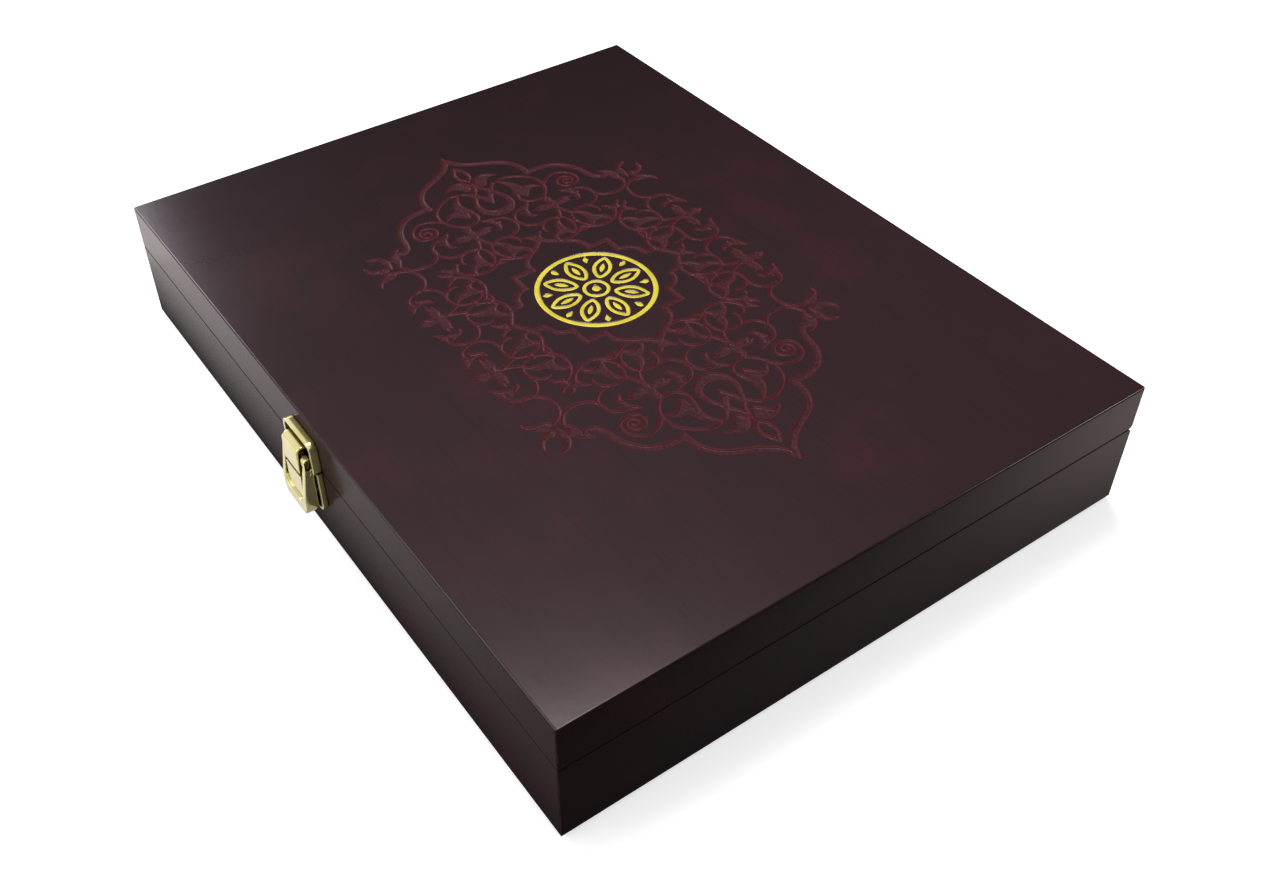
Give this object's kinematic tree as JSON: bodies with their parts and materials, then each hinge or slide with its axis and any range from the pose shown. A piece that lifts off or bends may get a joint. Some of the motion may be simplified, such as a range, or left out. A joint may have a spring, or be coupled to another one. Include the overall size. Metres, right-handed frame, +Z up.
{
  "type": "quran box",
  "caption": "Flat lacquered wooden box for a large book, with a carved hinged lid, a velvet bed inside and a gilt draw latch on its front.",
  "frame": {"origin": "centre of the underside, on the surface that the box stands on", "axes": "+Z up; +X along the long latch side; the latch faces -Y and the hinges are at +Y"},
  "size_m": [0.34, 0.2734, 0.059],
  "materials": {
    "lacquered_wood": "dark mahogany stain under satin lacquer",
    "velvet": "short pile velvet",
    "gold_metal": "polished pale gold plate",
    "steel": "yellow plated steel"
  },
  "bodies": {
    "base": {"base_front_rail": "lacquered_wood", "base_back_rail": "lacquered_wood", "base_left_rail": "lacquered_wood", "base_right_rail": "lacquered_wood", "base_floor_board": "lacquered_wood", "floor_pad": "velvet", "bed_front": "velvet", "bed_back": "velvet", "bed_left": "velvet", "bed_right": "velvet", "hinge_base_leaf_left": "gold_metal", "hinge_base_leaf_right": "gold_metal", "hinge_pin_left": "steel", "hinge_pin_right": "steel", "hinge_base_screws": "steel", "latch_base_plate": "gold_metal", "latch_base_screws": "steel", "latch_lever_pin": "steel"},
    "lid": {"lid_front_rail": "lacquered_wood", "lid_back_rail": "lacquered_wood", "lid_left_rail": "lacquered_wood", "lid_right_rail": "lacquered_wood", "lid_top_board": "lacquered_wood", "lid_pad": "velvet", "hinge_lid_leaf_left": "gold_metal", "hinge_lid_leaf_right": "gold_metal", "hinge_lid_screws": "steel", "latch_keeper_plate": "gold_metal", "latch_keeper_screws": "steel"},
    "lever": {"latch_lever": "gold_metal", "latch_hook_pin": "steel"},
    "hook": {"latch_hook": "gold_metal"}
  },
  "joints": [
    {"name": "lid_hinge", "type": "hinge", "parent": "base", "child": "lid", "pos_m": [0, 0.1307, 0.0385], "axis": [-1, 0, 0], "range_deg": [0, 100]},
    {"name": "latch_lever", "type": "hinge", "parent": "base", "child": "lever", "pos_m": [0, -0.1367, 0.044], "axis": [-1, 0, 0], "range_deg": [0, 110]},
    {"name": "latch_hook", "type": "hinge", "parent": "lever", "child": "hook", "pos_m": [0, -0.1372, 0.03811], "axis": [-1, 0, 0], "range_deg": [-90, 0]}
  ],
  "couplings": [
    {"joint": "latch_hook", "follows": "latch_lever", "ratio": -0.8}
  ]
}
